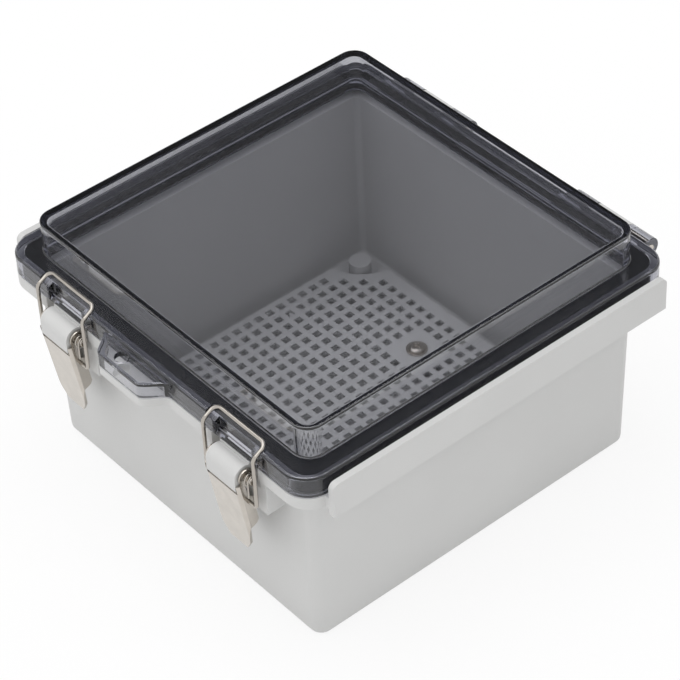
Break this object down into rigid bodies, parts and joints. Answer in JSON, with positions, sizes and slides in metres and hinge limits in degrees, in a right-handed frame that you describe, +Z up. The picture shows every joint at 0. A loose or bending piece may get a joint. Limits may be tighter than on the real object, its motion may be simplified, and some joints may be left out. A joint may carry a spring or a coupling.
{
  "type": "waterproof junction box",
  "caption": "Square weatherproof junction box with a clear smoke hinged lid, wire-bail draw latches, lock tabs and a perforated mounting plate.",
  "frame": {"origin": "middle of the flat underside of the body", "axes": "+Z up through the lid, -Y towards the latches, +Y towards the hinges, X along the hinge axis"},
  "size_m": [0.2104, 0.2225, 0.1208],
  "materials": {
    "abs_grey": "fine satin moulding",
    "smoke_polycarbonate": "clear smoke, polished",
    "seal_rubber": "matt",
    "plate_abs": "satin",
    "nickel_steel": "nickel plated, satin"
  },
  "bodies": {
    "base": {"base_body": "abs_grey", "mounting_plate": "plate_abs", "plate_screws": "nickel_steel", "plate_washers": "nickel_steel", "hinge_pin_left": "nickel_steel", "hinge_pin_right": "nickel_steel", "latch_pin_left": "nickel_steel", "latch_pin_right": "nickel_steel", "latch_spring_left": "nickel_steel", "latch_spring_right": "nickel_steel"},
    "lid": {"lid": "smoke_polycarbonate", "lid_gasket": "seal_rubber"},
    "lever_left": {"latch_lever_left": "nickel_steel"},
    "bail_left": {"latch_bail_left": "nickel_steel"},
    "lever_right": {"latch_lever_right": "nickel_steel"},
    "bail_right": {"latch_bail_right": "nickel_steel"}
  },
  "joints": [
    {"name": "lid_hinge", "type": "hinge", "parent": "base", "child": "lid", "pos_m": [0, 0.108, 0.0925], "axis": [-1, 0, 0], "range_deg": [0, 180]},
    {"name": "latch_left", "type": "hinge", "parent": "base", "child": "lever_left", "pos_m": [-0.0561, -0.1025, 0.0875], "axis": [-1, 0, 0], "range_deg": [0, 150], "stiffness_Nm_per_rad": 0.02},
    {"name": "bail_left", "type": "hinge", "parent": "lever_left", "child": "bail_left", "pos_m": [-0.0561, -0.1027, 0.0744], "axis": [1, 0, 0], "range_deg": [0, 172.5]},
    {"name": "latch_right", "type": "hinge", "parent": "base", "child": "lever_right", "pos_m": [0.0561, -0.1025, 0.0875], "axis": [-1, 0, 0], "range_deg": [0, 150], "stiffness_Nm_per_rad": 0.02},
    {"name": "bail_right", "type": "hinge", "parent": "lever_right", "child": "bail_right", "pos_m": [0.0561, -0.1027, 0.0744], "axis": [1, 0, 0], "range_deg": [0, 172.5]}
  ],
  "couplings": [
    {"joint": "bail_left", "follows": "latch_left", "ratio": 1.15},
    {"joint": "bail_right", "follows": "latch_right", "ratio": 1.15}
  ]
}
